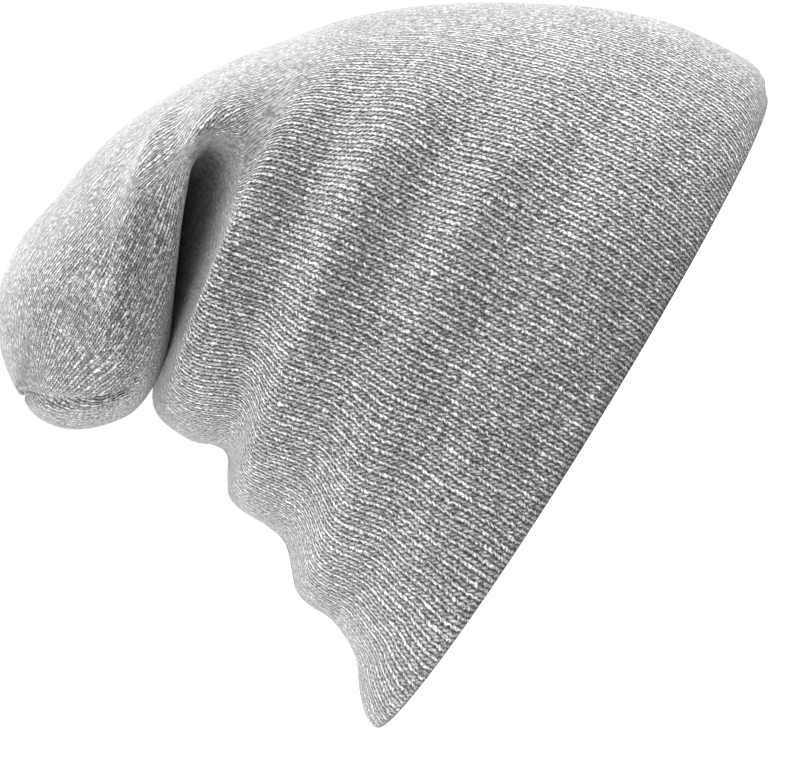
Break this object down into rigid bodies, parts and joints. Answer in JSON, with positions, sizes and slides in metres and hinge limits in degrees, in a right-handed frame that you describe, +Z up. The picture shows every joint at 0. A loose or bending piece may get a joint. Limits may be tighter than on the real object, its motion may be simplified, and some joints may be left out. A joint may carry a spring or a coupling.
{
  "type": "slouch beanie",
  "caption": "Slouch beanie in fine grey jersey, open at a folded rim, with gathers at the nape and a crown that flops back into a soft pouch.",
  "frame": {"origin": "middle of the rim, on the floor that the rim rests on", "axes": "+X toward the forehead, +Z up through the crown, +Y toward the side that the picture doesn't show"},
  "size_m": [0.2095, 0.1712, 0.153],
  "materials": {
    "grey_jersey": "matte heather grey yarn, finely knitted",
    "linking_yarn": "matte heather grey yarn, linked"
  },
  "bodies": {
    "root": {"knit_shell": "grey_jersey", "turned_hem": "grey_jersey", "crown_seam_across": "linking_yarn"}
  },
  "joints": []
}
